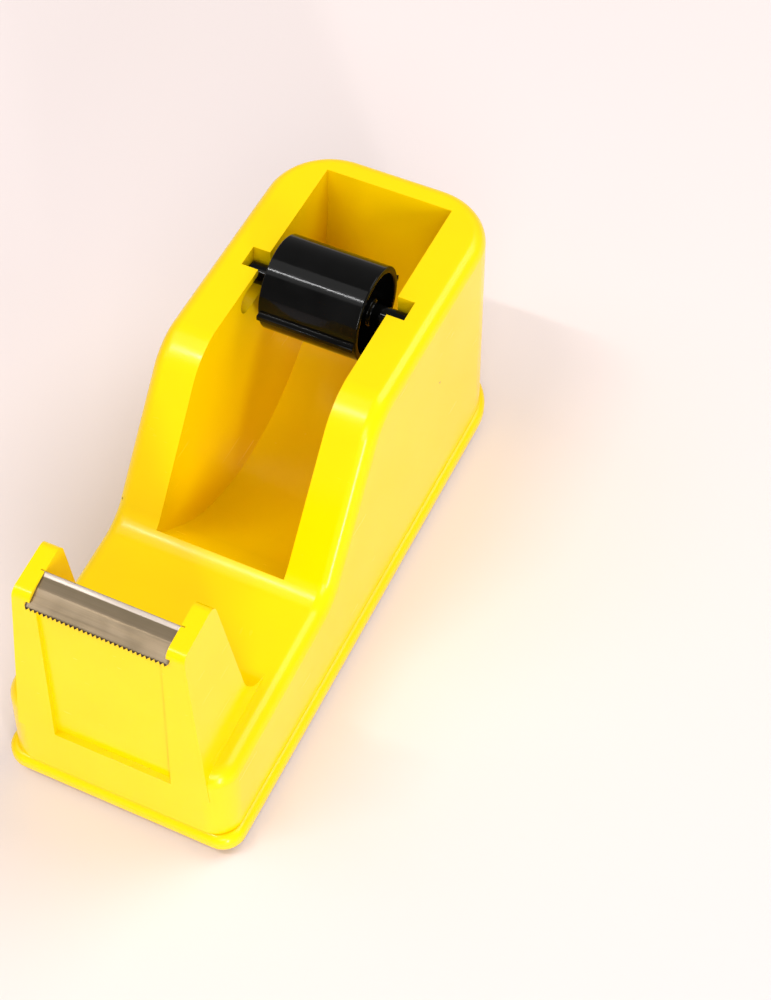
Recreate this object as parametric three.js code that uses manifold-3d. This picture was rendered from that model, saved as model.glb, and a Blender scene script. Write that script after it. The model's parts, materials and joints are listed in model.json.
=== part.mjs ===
// Weighted desktop tape dispenser: a hollow two-piece housing with a roll well, a serrated cutter on a post,
// ballast inside, and a hub that drops into two hooked slots. Millimetres, +Z up, the cutter towards -Y.
import * as THREE from "three";
import { mergeVertices } from "three/addons/utils/BufferGeometryUtils.js";
import Module from "manifold-3d";

const wasm = await Module();
wasm.setup();

// ---- Driving dimensions, mm ----
const LENGTH = 151; // base tray, cutter end to rear
const WIDTH = 59; // base tray, side to side
const RIM_Z = 66; // top of the rim around the well
const DECK_FRONT_Z = 28; // deck height just behind the front edge
const DECK_REAR_Z = 31; // deck height where the slope to the rim starts
const SHELL_INSET = 1; // how far the shell's ends stand in from the tray, which makes the seam line
const SIDE_INSET = 1.5; // the same for its sides
const SHELL_WALL = 2.2;
const TRAY_FRONT_R = 5.5; // plan corners
const SHELL_FRONT_R = 7;
const REAR_CORNER_R = 17;
const RIM_EDGE_R = 3.5; // rounded outer edge of the rim and deck
const SLOPE_FOOT = 52.5; // distance of the slope's foot behind the front of the tray
const HIP = 79.5; // distance of the corner between slope and rim behind the front of the tray
const PAD_T = 1.3;
const PAD_INSET = 3.5; // pad in from the tray at its front and rear
const PAD_SIDE_INSET = 0.9; // and at its sides
const TRAY_T = 5;
const TRAY_EDGE_R = 1.8;
const TOUCH = 0.3; // clearance between pieces that touch

const WELL_W = 32.4;
const WELL_R = 48;
const WELL_REAR_WALL = 8; // from the rear of the tray to the well
const WELL_FLOOR_GAP = 0.4; // from the shell's foot to the underside of the well's wall
const WELL_EDGE_BACK = 0.3; // front edge of the well behind the slope's foot
const RAMP_DEG = 42; // slope of the well floor's straight front part

const HUB_D = 25.4; // over the fins, for a 1 inch tape core
const FIN_H = 1.3; // how far each fin stands out of the barrel
const BARREL_SIDE_GAP = 3.9; // barrel end to the side of the well
const BARREL_WALL = 1.7;
const FIN_W = 1.4;
const WEB_T = 6;
const JOURNAL_D = 8;
const JOURNAL_CLEARANCE = 0.06; // radial
const COLLAR_D = 11;
const COLLAR_T = 2;
const PIN_D = 5;
const HUB_TO_REAR = 41; // rest position of the hub ahead of the rear of the tray

const SLOT_PLAY = 0.5; // pin to slot, each side
const SLOT_DEPTH = 4.3; // into each side of the well
const PIN_END_GAP = 0.5; // pin end to the bottom of its slot
const SLOT_DROP = 7.6; // rim to the slot's floor
const SLOT_RUN = 9; // from the entry leg forward to the seat

const CHEEK_IN = 31.2; // between the cheeks
const CHEEK_T = 3.9; // at the top
const RAIL_W = 4.5; // deck left on each side of the post's foot
const POST_TOP_Z = 69.7;
const POST_LEAN = 4; // how far the front face leans back over its height
const CHEEK_DEPTH = 14; // front to back at the top
const CHEEK_FOOT_RUN = 4.5; // the cheek's rear edge slopes out this much on its way down
const RECESS_SIDE = 1.2; // recess edge in from the cheek's inner face
const RECESS_DEPTH = 1.4;
const RECESS_FOOT_Z = 21;

const BLADE_T = 0.5;
const BLADE_DROP = 4.3; // teeth below the cheeks' tops
const BLADE_FRONT = 4.2; // teeth behind the front of the tray
const BLADE_BAND = [4.4, 2.1]; // back and up, from the teeth to the bend
const BLADE_REAR = [3.7, 0.8]; // back and up, from the bend to the rear lip
const BLADE_LIP = 0.4;
const BLADE_GROOVE = 0.8; // how deep each end sits in its cheek
const TOOTH_PITCH = 0.8;
const TOOTH_H = 0.7;

const BOSS_D = 7.4;
const BOSS_H = 14;
const BOSS_INSET_X = 7; // screw centres in from the tray's sides
const BOSS_INSET_Y = 12; // and from its front and rear
const SCREW_SHANK_D = 2.6;
const SCREW_HEAD_D = 5.6;
const SCREW_HEAD_T = 1.6;
const SCREW_L = 12;

const BALLAST_GAP = 0.6; // ballast to its neighbours

// ---- Places worked out from them ----
const front = -LENGTH / 2;
const rear = LENGTH / 2;
const trayZ = PAD_T + TOUCH;
const shellZ = trayZ + TRAY_T + TOUCH;
const shellHalf = WIDTH / 2 - SIDE_INSET;
const shellFront = front + SHELL_INSET;
const shellRear = rear - SHELL_INSET;
const footY = front + SLOPE_FOOT;
const hipY = front + HIP;
const wellY = rear - WELL_REAR_WALL - WELL_R;
const wellZ = shellZ + SHELL_WALL + WELL_FLOOR_GAP + WELL_R;
const wellHalf = WELL_W / 2;
const slotW = PIN_D + 2 * SLOT_PLAY;
const slotZ = RIM_Z - SLOT_DROP;
const hubY = rear - HUB_TO_REAR;
const hubZ = slotZ + PIN_D / 2 + TOUCH;
const hubHalf = wellHalf + SLOT_DEPTH - PIN_END_GAP;
const barrelHalf = wellHalf - BARREL_SIDE_GAP;
const barrelR = HUB_D / 2 - FIN_H;
const seatY = hubY - SLOT_RUN;
const deckSlope = (DECK_REAR_Z - DECK_FRONT_Z) / (footY - shellFront);
const deckZ = (y) => DECK_FRONT_Z + (y - shellFront) * deckSlope;
const faceFootZ = shellZ + 2;
const faceY = (z) => shellFront + (POST_LEAN * Math.max(0, z - faceFootZ)) / (POST_TOP_Z - faceFootZ);
const cheekHalf = CHEEK_IN / 2;
const recessHalf = cheekHalf - RECESS_SIDE;
const high = Math.max(RIM_Z, POST_TOP_Z) + 30; // past every cut's open side

const yellow = { color: 0xfff002, roughness: 0.25, metalness: 0 };
const black = { color: 0x0a0a0a, roughness: 0.18, metalness: 0 };
const rubber = { color: 0x1c1c1c, roughness: 0.9, metalness: 0 };
const iron = { color: 0x55524e, roughness: 0.8, metalness: 0.6 };
const zinc = { color: 0xb8b8b4, roughness: 0.35, metalness: 1 };
const bladeSteel = { color: 0x8e7f5e, roughness: 0.35, metalness: 1 };

const group = new THREE.Group();

// ---- Helpers ----
// A closed geometry as a manifold-3d solid.
function solid(geometry) {
  const bare = geometry.index ? geometry.toNonIndexed() : geometry.clone();
  bare.deleteAttribute("normal");
  bare.deleteAttribute("uv");
  const merged = mergeVertices(bare, 1e-4);
  const mesh = new wasm.Mesh({
    numProp: 3,
    vertProperties: new Float32Array(merged.attributes.position.array),
    triVerts: new Uint32Array(merged.index.array),
  });
  return new wasm.Manifold(mesh);
}

// A solid as a geometry with flat faces.
function geometryOf(made) {
  const mesh = made.getMesh();
  const geometry = new THREE.BufferGeometry();
  geometry.setAttribute("position", new THREE.BufferAttribute(new Float32Array(mesh.vertProperties), 3));
  geometry.setIndex(new THREE.BufferAttribute(new Uint32Array(mesh.triVerts), 1));
  const flat = geometry.toNonIndexed();
  flat.computeVertexNormals();
  return flat;
}

function add(name, made, look) {
  const mesh = new THREE.Mesh(geometryOf(made), new THREE.MeshStandardMaterial(look));
  mesh.name = name;
  group.add(mesh);
}

// A closed outline through [x, y, radius] corners, each rounded by its radius.
function outline(corners) {
  const shape = new THREE.Shape();
  corners.forEach(([x, y, r = 0], i) => {
    const before = corners.at(i - 1);
    const after = corners[(i + 1) % corners.length];
    const into = new THREE.Vector2(before[0] - x, before[1] - y).normalize();
    const out = new THREE.Vector2(after[0] - x, after[1] - y).normalize();
    if (r === 0) {
      if (i === 0) shape.moveTo(x, y);
      else shape.lineTo(x, y);
      return;
    }
    const half = Math.acos(THREE.MathUtils.clamp(into.dot(out), -1, 1)) / 2;
    const back = r / Math.tan(half);
    const towards = into.clone().add(out).normalize().multiplyScalar(r / Math.sin(half));
    const centre = new THREE.Vector2(x, y).add(towards);
    const from = new THREE.Vector2(x, y).addScaledVector(into, back);
    const to = new THREE.Vector2(x, y).addScaledVector(out, back);
    const start = Math.atan2(from.y - centre.y, from.x - centre.x);
    const end = Math.atan2(to.y - centre.y, to.x - centre.x);
    if (i === 0) shape.moveTo(from.x, from.y);
    else shape.lineTo(from.x, from.y);
    shape.absarc(centre.x, centre.y, r, start, end, into.cross(out) > 0);
  });
  return shape;
}

// The corners of a polygon moved inwards by a distance, for corners listed anticlockwise.
function inset(corners, distance) {
  return corners.map(([x, y], i) => {
    const before = corners.at(i - 1);
    const after = corners[(i + 1) % corners.length];
    const a = new THREE.Vector2(x - before[0], y - before[1]).normalize();
    const b = new THREE.Vector2(after[0] - x, after[1] - y).normalize();
    const na = new THREE.Vector2(-a.y, a.x);
    const nb = new THREE.Vector2(-b.y, b.x);
    const move = na.clone().add(nb).multiplyScalar(distance / (1 + na.dot(nb)));
    return [x + move.x, y + move.y];
  });
}

// An extrusion of an outline, with the doubled points where its lines meet its arcs taken out.
function extrude(shape, depth, options = {}) {
  const points = shape.getPoints(options.curveSegments ?? 8);
  const apart = points.filter((point, i) => point.distanceTo(points.at(i - 1)) > 0.01);
  return new THREE.ExtrudeGeometry(new THREE.Shape(apart), { depth, bevelEnabled: false, ...options });
}

// A (y, z) outline extruded from x0 to x1.
function acrossX(shape, x0, x1, options) {
  const turn = new THREE.Matrix4().makeBasis(
    new THREE.Vector3(0, 1, 0),
    new THREE.Vector3(0, 0, 1),
    new THREE.Vector3(1, 0, 0),
  );
  return solid(extrude(shape, x1 - x0, options).applyMatrix4(turn).translate(x0, 0, 0));
}

// An (x, z) outline extruded from y0 to y1.
function alongY(shape, y0, y1) {
  return solid(extrude(shape, y1 - y0).rotateX(Math.PI / 2).translate(0, y1, 0));
}

// An (x, y) outline extruded from z0 to z1.
function upZ(shape, z0, z1, options) {
  return solid(extrude(shape, z1 - z0, options).translate(0, 0, z0));
}

function block(x0, x1, y0, y1, z0, z1) {
  const box = new THREE.BoxGeometry(x1 - x0, y1 - y0, z1 - z0);
  return solid(box.translate((x0 + x1) / 2, (y0 + y1) / 2, (z0 + z1) / 2));
}

function upright(x, y, z0, z1, diameter, sides = 24) {
  const rod = new THREE.CylinderGeometry(diameter / 2, diameter / 2, z1 - z0, sides);
  return solid(rod.rotateX(Math.PI / 2).translate(x, y, (z0 + z1) / 2));
}

// A solid of revolution about the hub's axis, from [along, radius] points that start and end on the axis.
function turned(points, sides = 48) {
  const profile = points.map(([along, radius]) => new THREE.Vector2(radius, along));
  return solid(new THREE.LatheGeometry(profile, sides).rotateZ(-Math.PI / 2).translate(0, hubY, hubZ));
}

// A plan outline inset from the tray's, with its own front corner radius.
function plan(gap, frontR, sideGap = gap) {
  const half = WIDTH / 2 - sideGap;
  const rearR = REAR_CORNER_R - gap;
  return outline([
    [-half, front + gap, frontR],
    [half, front + gap, frontR],
    [half, rear - gap, rearR],
    [-half, rear - gap, rearR],
  ]);
}

// ---- Roll well and hub slots ----
// The well's (y, z) outline grown by a wall: rear wall, round floor, straight ramp up to the deck.
function wellOutline(grow) {
  const ramp = THREE.MathUtils.degToRad(RAMP_DEG);
  const r = WELL_R + grow;
  const leave = -Math.PI / 2 - ramp;
  const touch = new THREE.Vector2(wellY + r * Math.cos(leave), wellZ + r * Math.sin(leave));
  const edgeY = footY + WELL_EDGE_BACK - grow;
  const shape = new THREE.Shape();
  shape.moveTo(wellY + r, high);
  shape.lineTo(wellY + r, wellZ);
  shape.absarc(wellY, wellZ, r, 0, leave, true);
  shape.lineTo(edgeY, touch.y + (touch.x - edgeY) * Math.tan(ramp));
  shape.lineTo(edgeY, high);
  return shape;
}

function wellSolid(grow) {
  const sideways = wellHalf + grow;
  return acrossX(wellOutline(grow), -sideways, sideways, { curveSegments: 40 });
}

// Both hooked slots: an entry leg open at the rim and a run forward to the seat.
function slotPair(grow, openTop) {
  const r = slotW / 2 + grow;
  const floor = slotZ - grow;
  const hook = outline([
    [seatY - r, floor, r * 0.98],
    [hubY + r, floor, r * 0.5],
    [hubY + r, openTop],
    [hubY - r, openTop],
    [hubY - r, floor + 2 * r, grow > 0 ? 0 : 0.6],
    [seatY - r, floor + 2 * r, r * 0.98],
  ]);
  const reach = wellHalf + SLOT_DEPTH + grow;
  return acrossX(hook, -reach, reach);
}

// ---- Housing ----
function sideCorners() {
  return [
    [shellFront, 0],
    [shellRear, 0],
    [shellRear, RIM_Z],
    [hipY, RIM_Z],
    [footY, DECK_REAR_Z],
    [faceY(DECK_FRONT_Z), deckZ(faceY(DECK_FRONT_Z))],
    [faceY(faceFootZ), faceFootZ],
  ];
}

function housingOutside() {
  const radii = [0, 0, RIM_EDGE_R + 1, 12, 8, RIM_EDGE_R + 1, 0];
  const side = outline(sideCorners().map((corner, i) => [...corner, radii[i]]));
  const rounding = {
    bevelEnabled: true,
    bevelThickness: RIM_EDGE_R,
    bevelSize: RIM_EDGE_R,
    bevelOffset: -RIM_EDGE_R,
    bevelSegments: 4,
  };
  const straight = shellHalf - RIM_EDGE_R;
  return acrossX(side, -straight, straight, rounding)
    .intersect(upZ(plan(SHELL_INSET, SHELL_FRONT_R), 0, high, { curveSegments: 10 }))
    .subtract(block(-WIDTH, WIDTH, front, rear, -10, shellZ));
}

function housingHollow() {
  const side = outline(inset(sideCorners(), SHELL_WALL));
  const half = shellHalf - SHELL_WALL;
  const chamberFront = faceY(RECESS_FOOT_Z) + RECESS_DEPTH + 2 * SHELL_WALL;
  return acrossX(side, -half, half)
    .intersect(upZ(plan(SHELL_INSET + SHELL_WALL, SHELL_FRONT_R - SHELL_WALL), 0, high))
    .intersect(block(-half, half, chamberFront, rear, shellZ - 5, high));
}

// ---- Cutter post ----
const cheekRear = faceY(POST_TOP_Z) + CHEEK_DEPTH;
const bladeTip = [front + BLADE_FRONT, POST_TOP_Z - BLADE_DROP];
const bladeBend = [bladeTip[0] + BLADE_BAND[0], bladeTip[1] + BLADE_BAND[1]];
const bladeRear = [bladeBend[0] + BLADE_REAR[0], bladeBend[1] + BLADE_REAR[1]];
const postRear = bladeRear[0] + 0.5;

// The blade's (y, z) outline grown by a clearance: toothed band, flat, and a small raised rear lip.
function bladeOutline(grow) {
  const up = BLADE_T + grow;
  return outline([
    [bladeTip[0] - grow, bladeTip[1] - grow],
    [bladeBend[0], bladeBend[1] - grow],
    [bladeRear[0] + grow, bladeRear[1] - grow],
    [bladeRear[0] + grow, bladeRear[1] + up + BLADE_LIP],
    [bladeRear[0] - BLADE_T - grow, bladeRear[1] + up + BLADE_LIP],
    [bladeRear[0] - BLADE_T - grow, bladeRear[1] + up],
    [bladeBend[0], bladeBend[1] + up],
    [bladeTip[0] - grow, bladeTip[1] + up],
  ]);
}

function cutterPost() {
  const low = DECK_FRONT_Z - 8;
  const cheekSide = outline([
    [faceY(low), low],
    [cheekRear + 20, low],
    [cheekRear + 20, deckZ(cheekRear + 20) - 0.1],
    [cheekRear + CHEEK_FOOT_RUN, deckZ(cheekRear + CHEEK_FOOT_RUN) - 0.1, 9],
    [cheekRear, POST_TOP_Z, 1.4],
    [faceY(POST_TOP_Z) + 0.6, POST_TOP_Z - 1.4, 1.6],
  ]);
  const middleSide = outline([
    [faceY(low), low],
    [postRear + 12, low],
    [postRear + 12, deckZ(postRear + 12) - 0.1],
    [postRear + 1, deckZ(postRear) - 0.1, 4],
    [postRear, bladeRear[1] - TOUCH],
    [bladeBend[0], bladeBend[1] - TOUCH],
    [faceY(bladeTip[1]), bladeTip[1] - TOUCH],
  ]);
  const footHalf = shellHalf - RAIL_W;
  const topHalf = cheekHalf + CHEEK_T;
  const facing = outline([
    [-footHalf, low],
    [footHalf, low],
    [footHalf, low + 3, 2],
    [topHalf, POST_TOP_Z + 0.5, 1.6],
    [-topHalf, POST_TOP_Z + 0.5, 1.6],
    [-footHalf, low + 3, 2],
  ]);
  const cheeks = acrossX(cheekSide, -footHalf, footHalf).subtract(
    block(-cheekHalf, cheekHalf, front - 5, rear, low, high),
  );
  const middle = acrossX(middleSide, -cheekHalf - 1, cheekHalf + 1);
  return cheeks.add(middle).intersect(alongY(facing, front, footY));
}

function frontRecess() {
  const side = outline([
    [front - 5, RECESS_FOOT_Z],
    [faceY(RECESS_FOOT_Z) + RECESS_DEPTH, RECESS_FOOT_Z],
    [faceY(high) + RECESS_DEPTH, high],
    [front - 5, high],
  ]);
  return acrossX(side, -recessHalf, recessHalf);
}

function postHollow() {
  const z0 = DECK_FRONT_Z - 12;
  const z1 = bladeTip[1] - 3 * SHELL_WALL;
  const side = outline([
    [faceY(z0) + RECESS_DEPTH + SHELL_WALL, z0],
    [postRear - SHELL_WALL, z0],
    [postRear - SHELL_WALL, z1],
    [faceY(z1) + RECESS_DEPTH + SHELL_WALL, z1],
  ]);
  return acrossX(side, 1 - recessHalf, recessHalf - 1);
}

// ---- Screw places ----
const screwPlaces = [-1, 1].flatMap((side) => [
  [side * (WIDTH / 2 - BOSS_INSET_X), front + BOSS_INSET_Y],
  [side * (WIDTH / 2 - BOSS_INSET_X), rear - BOSS_INSET_Y],
]);

function bodyShell() {
  const casing = wellSolid(SHELL_WALL).add(slotPair(SHELL_WALL, high));
  const hollow = housingHollow().subtract(casing).add(postHollow());
  let shell = housingOutside().add(cutterPost()).subtract(hollow);
  for (const [x, y] of screwPlaces) shell = shell.add(upright(x, y, shellZ, shellZ + BOSS_H, BOSS_D));
  for (const [x, y] of screwPlaces) {
    shell = shell.subtract(upright(x, y, shellZ - 1, trayZ + SCREW_L + 2, SCREW_SHANK_D + 2 * TOUCH));
  }
  const groove = cheekHalf + BLADE_GROOVE + TOUCH;
  return shell
    .subtract(wellSolid(0))
    .subtract(slotPair(0, high))
    .subtract(frontRecess())
    .subtract(acrossX(bladeOutline(TOUCH), -groove, groove));
}

// ---- Base ----
function baseTray() {
  const rounding = {
    bevelEnabled: true,
    bevelThickness: TRAY_EDGE_R,
    bevelSize: TRAY_EDGE_R,
    bevelOffset: -TRAY_EDGE_R,
    bevelSegments: 3,
    curveSegments: 8,
  };
  let tray = upZ(plan(0, TRAY_FRONT_R), trayZ + TRAY_EDGE_R, trayZ + TRAY_T - TRAY_EDGE_R, rounding);
  for (const [x, y] of screwPlaces) {
    tray = tray.subtract(upright(x, y, 0, high, SCREW_SHANK_D + 2 * TOUCH + 0.4));
    tray = tray.subtract(upright(x, y, 0, trayZ + SCREW_HEAD_T + TOUCH * 2, SCREW_HEAD_D + 2 * TOUCH));
  }
  return tray;
}

function antiSlipPad() {
  return upZ(plan(PAD_INSET, TRAY_FRONT_R / 2, PAD_SIDE_INSET), 0, PAD_T);
}

// A pan-head screw driven up through the tray, with a hex recess in its head.
function baseScrew(x, y) {
  const headZ = trayZ + TOUCH;
  return upright(x, y, headZ, headZ + SCREW_HEAD_T, SCREW_HEAD_D)
    .add(upright(x, y, headZ + SCREW_HEAD_T - 0.2, headZ + SCREW_L, SCREW_SHANK_D, 16))
    .subtract(upright(x, y, headZ - 1, headZ + SCREW_HEAD_T * 0.55, SCREW_HEAD_D * 0.45, 6));
}

// ---- Ballast ----
const ballastZ = shellZ + BALLAST_GAP;

function ballastFront() {
  const y0 = front + BOSS_INSET_Y + BOSS_D / 2 + BALLAST_GAP;
  const y1 = footY - SHELL_WALL - 4;
  const half = shellHalf - SHELL_WALL - BALLAST_GAP - 1;
  const side = outline([
    [y0, ballastZ, 1],
    [y1, ballastZ, 1],
    [y1, deckZ(y1) - SHELL_WALL - 1, 1],
    [y0, deckZ(y0) - SHELL_WALL - 1, 1],
  ]);
  return acrossX(side, -half, half).subtract(wellSolid(SHELL_WALL + BALLAST_GAP));
}

// A plate that stands between the well's side and the outer wall, under the slope and the slot.
function ballastSide(side) {
  const inner = wellHalf + SHELL_WALL + BALLAST_GAP;
  const outer = shellHalf - SHELL_WALL - BALLAST_GAP;
  const y0 = footY + 8;
  const y1 = rear - REAR_CORNER_R - 1;
  const top = slotZ - 2 * SHELL_WALL - 1;
  const plate = outline([
    [y0, ballastZ, 2],
    [y1, ballastZ, 2],
    [y1, top, 2],
    [hipY + 4, top, 4],
    [y0, DECK_REAR_Z, 3],
  ]);
  return acrossX(plate, Math.min(side * inner, side * outer), Math.max(side * inner, side * outer));
}

// ---- Blade ----
function cutterBlade() {
  const half = cheekHalf + BLADE_GROOVE;
  const count = Math.floor((2 * half) / TOOTH_PITCH);
  const pitch = (2 * half) / count;
  const edge = new THREE.Shape();
  edge.moveTo(half, bladeRear[0] + 1);
  edge.lineTo(-half, bladeRear[0] + 1);
  for (let i = 0; i < count; i++) {
    edge.lineTo(-half + i * pitch, bladeTip[0] + TOOTH_H);
    edge.lineTo(-half + (i + 0.5) * pitch, bladeTip[0]);
  }
  edge.lineTo(half, bladeTip[0] + TOOTH_H);
  return acrossX(bladeOutline(0), -half, half).intersect(upZ(edge, bladeTip[1] - 5, high));
}

// ---- Hub ----
function hubBarrel() {
  const half = barrelHalf;
  const outer = barrelR;
  const inner = outer - BARREL_WALL;
  const bore = JOURNAL_D / 2 + JOURNAL_CLEARANCE;
  const web = WEB_T / 2;
  let barrel = turned([
    [-half, 0],
    [-half, outer],
    [half, outer],
    [half, 0],
  ]);
  for (const [from, to, radius] of [
    [-half - 1, -web, inner],
    [web, half + 1, inner],
    [-half - 1, half + 1, bore],
  ]) {
    barrel = barrel.subtract(
      turned([
        [from, 0],
        [from, radius],
        [to, radius],
        [to, 0],
      ]),
    );
  }
  for (const side of [-1, 1]) {
    const y0 = hubY + side * (outer - BARREL_WALL / 2);
    const y1 = hubY + (side * HUB_D) / 2;
    barrel = barrel.add(
      block(-half, half, Math.min(y0, y1), Math.max(y0, y1), hubZ - FIN_W / 2, hubZ + FIN_W / 2),
    );
  }
  return barrel;
}

function hubAxle() {
  const journal = WEB_T / 2 + TOUCH;
  const collar = journal + COLLAR_T;
  const shoulder = barrelHalf - 1;
  const end = hubHalf;
  const half = [
    [end, 0],
    [end, PIN_D / 2 - 0.5],
    [end - 0.5, PIN_D / 2],
    [shoulder, PIN_D / 2],
    [shoulder, JOURNAL_D / 2 - 0.6],
    [collar, JOURNAL_D / 2 - 0.6],
    [collar, COLLAR_D / 2],
    [journal, COLLAR_D / 2],
    [journal, JOURNAL_D / 2],
  ];
  const mirrored = half.map(([along, radius]) => [-along, radius]);
  return turned([...mirrored, ...half.reverse()]);
}

add("body_shell", bodyShell(), yellow);
add("base_tray", baseTray(), yellow);
add("anti_slip_pad", antiSlipPad(), rubber);
screwPlaces.forEach(([x, y], i) => add(`base_screw_${i + 1}`, baseScrew(x, y), zinc));
add("ballast_front", ballastFront(), iron);
add("ballast_left", ballastSide(-1), iron);
add("ballast_right", ballastSide(1), iron);
add("cutter_blade", cutterBlade(), bladeSteel);
add("hub_axle", hubAxle(), black);
add("hub_barrel", hubBarrel(), black);

export default group;
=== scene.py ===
# A weighted desktop tape dispenser: yellow housing, bent steel cutter, black hub for the tape roll
import json
import math

import bmesh
import bpy
from mathutils import Matrix, Vector


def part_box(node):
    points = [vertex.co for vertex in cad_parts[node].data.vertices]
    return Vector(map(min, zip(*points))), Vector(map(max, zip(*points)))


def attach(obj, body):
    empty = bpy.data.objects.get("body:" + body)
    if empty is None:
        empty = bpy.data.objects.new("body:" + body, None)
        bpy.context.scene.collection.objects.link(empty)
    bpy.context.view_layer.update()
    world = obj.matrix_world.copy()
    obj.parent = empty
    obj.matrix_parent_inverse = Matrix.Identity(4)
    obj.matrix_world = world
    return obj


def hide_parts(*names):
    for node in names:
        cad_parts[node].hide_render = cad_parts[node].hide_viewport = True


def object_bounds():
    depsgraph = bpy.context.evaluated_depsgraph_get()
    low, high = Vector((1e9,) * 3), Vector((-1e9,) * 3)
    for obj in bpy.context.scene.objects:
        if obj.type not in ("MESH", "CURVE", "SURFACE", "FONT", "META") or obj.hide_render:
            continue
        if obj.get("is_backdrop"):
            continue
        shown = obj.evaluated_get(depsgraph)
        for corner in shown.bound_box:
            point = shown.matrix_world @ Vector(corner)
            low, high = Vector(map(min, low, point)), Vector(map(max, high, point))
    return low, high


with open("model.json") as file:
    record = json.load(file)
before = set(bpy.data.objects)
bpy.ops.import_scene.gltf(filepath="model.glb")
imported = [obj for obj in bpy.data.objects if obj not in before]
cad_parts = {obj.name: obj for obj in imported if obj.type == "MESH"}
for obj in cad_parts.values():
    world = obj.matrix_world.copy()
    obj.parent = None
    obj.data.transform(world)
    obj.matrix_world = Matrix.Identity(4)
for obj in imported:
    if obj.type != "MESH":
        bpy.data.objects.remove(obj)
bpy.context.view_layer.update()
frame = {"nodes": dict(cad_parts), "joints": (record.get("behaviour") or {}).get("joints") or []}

mm = 0.001  # pieces are modelled in millimetres and scaled once, when they are finished
small = 0.01  # closer than this is the same place
weld = 0.02  # points closer than this become one
past = 5  # a cutter runs this far past the face it cuts
justPast = 1  # and this far where other faces are near
halfSpan = 60  # half width of a cutter that goes right through


def boxMm(node):  # a node's lowest and highest corner
    low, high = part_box(node)
    return low / mm, high / mm


trayLow, trayHigh = boxMm("base_tray")
padLow, padHigh = boxMm("anti_slip_pad")
shellLow, shellHigh = boxMm("body_shell")
barrelLow, barrelHigh = boxMm("hub_barrel")
axleHigh = boxMm("hub_axle")[1]
front, rear = trayLow.y, trayHigh.y
spin = next(joint for joint in frame["joints"] if joint["name"] == "hub_spin")
hub = Vector(spin["pos_m"]) / mm  # a point on the hub's axis
screws = [boxMm(node) for node in frame["nodes"] if node.startswith("base_screw")]


def prism(corners, axis, low, high):
    # extrudes a flat outline along axis "x", "y" or "z"; corners are the other two coordinates
    place = {
        "x": lambda a, b: (low, a, b),
        "y": lambda a, b: (a, low, b),
        "z": lambda a, b: (a, b, low),
    }
    along = {"x": Vector((1, 0, 0)), "y": Vector((0, 1, 0)), "z": Vector((0, 0, 1))}[axis]
    bm = bmesh.new()
    face = bm.faces.new([bm.verts.new(place[axis](a, b)) for a, b in corners])
    grown = bmesh.ops.extrude_face_region(bm, geom=[face])
    moved = [item for item in grown["geom"] if isinstance(item, bmesh.types.BMVert)]
    bmesh.ops.translate(bm, vec=along * (high - low), verts=moved)
    bmesh.ops.recalc_face_normals(bm, faces=bm.faces)
    return bm


def roundEdges(bm, edges, radius, segments):
    # bevels edges that all turn by the same angle, so that the round has this radius
    edges = list(edges)
    turn = edges[0].calc_face_angle()
    bmesh.ops.bevel(
        bm,
        geom=edges,
        offset=radius * math.tan(turn / 2),
        offset_type="OFFSET",
        affect="EDGES",
        segments=segments,
        profile=0.5,
        clamp_overlap=False,
        material=-1,
    )


def softenEdges(bm, edges, offset, segments, clamp=True):
    bmesh.ops.bevel(
        bm,
        geom=edges,
        offset=offset,
        offset_type="OFFSET",
        affect="EDGES",
        segments=segments,
        profile=0.5,
        clamp_overlap=clamp,
        loop_slide=True,
        material=-1,
    )


def edgesAt(bm, axis, a, b, reach=0.2):
    # the edges that run along an axis through the point (a, b) of the other two coordinates
    others = [i for i in range(3) if i != axis]
    found = []
    for edge in bm.edges:
        ends = [v.co for v in edge.verts]
        if all(abs(co[others[0]] - a) < reach and abs(co[others[1]] - b) < reach for co in ends):
            found.append(edge)
    return found


def sharpEdges(bm, degrees):
    limit = math.radians(degrees)
    return [edge for edge in bm.edges if len(edge.link_faces) == 2 and edge.calc_face_angle() > limit]


def toObject(bm, name):
    mesh = bpy.data.meshes.new(name)
    bm.to_mesh(mesh)
    bm.free()
    made = bpy.data.objects.new(name, mesh)
    bpy.context.scene.collection.objects.link(made)
    return made


def openMesh(target):
    bm = bmesh.new()
    bm.from_mesh(target.data)
    return bm


def takeMesh(target):  # the mesh of an object that isn't needed any more
    bm = openMesh(target)
    bpy.data.objects.remove(target)
    return bm


def closeMesh(bm, target):
    bm.to_mesh(target.data)
    bm.free()


def applyModifiers(target):
    made = bpy.data.meshes.new_from_object(target.evaluated_get(bpy.context.evaluated_depsgraph_get()))
    target.modifiers.clear()
    target.data = made


def combine(target, toolBm, operation):
    # applies one exact boolean and throws the tool away
    tool = toObject(toolBm, "tool")
    step = target.modifiers.new("cut", "BOOLEAN")
    step.operation = operation
    step.solver = "EXACT"
    step.object = tool
    applyModifiers(target)
    bpy.data.objects.remove(tool)


def clean(bm):
    bmesh.ops.remove_doubles(bm, verts=bm.verts, dist=weld)
    bmesh.ops.dissolve_degenerate(bm, edges=bm.edges, dist=weld)
    bmesh.ops.dissolve_limit(bm, angle_limit=math.radians(0.05), verts=bm.verts, edges=bm.edges)


def finishPiece(piece, material, body, node):
    # scales to metres, shades it, and hangs it on its body in place of its plain solid
    piece.data.transform(Matrix.Scale(mm, 4))
    piece.data.materials.clear()
    piece.data.materials.append(material)
    for polygon in piece.data.polygons:
        polygon.use_smooth = True
    weigh = piece.modifiers.new("faceWeight", "WEIGHTED_NORMAL")
    weigh.keep_sharp = True
    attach(piece, body)
    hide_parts(node)


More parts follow.
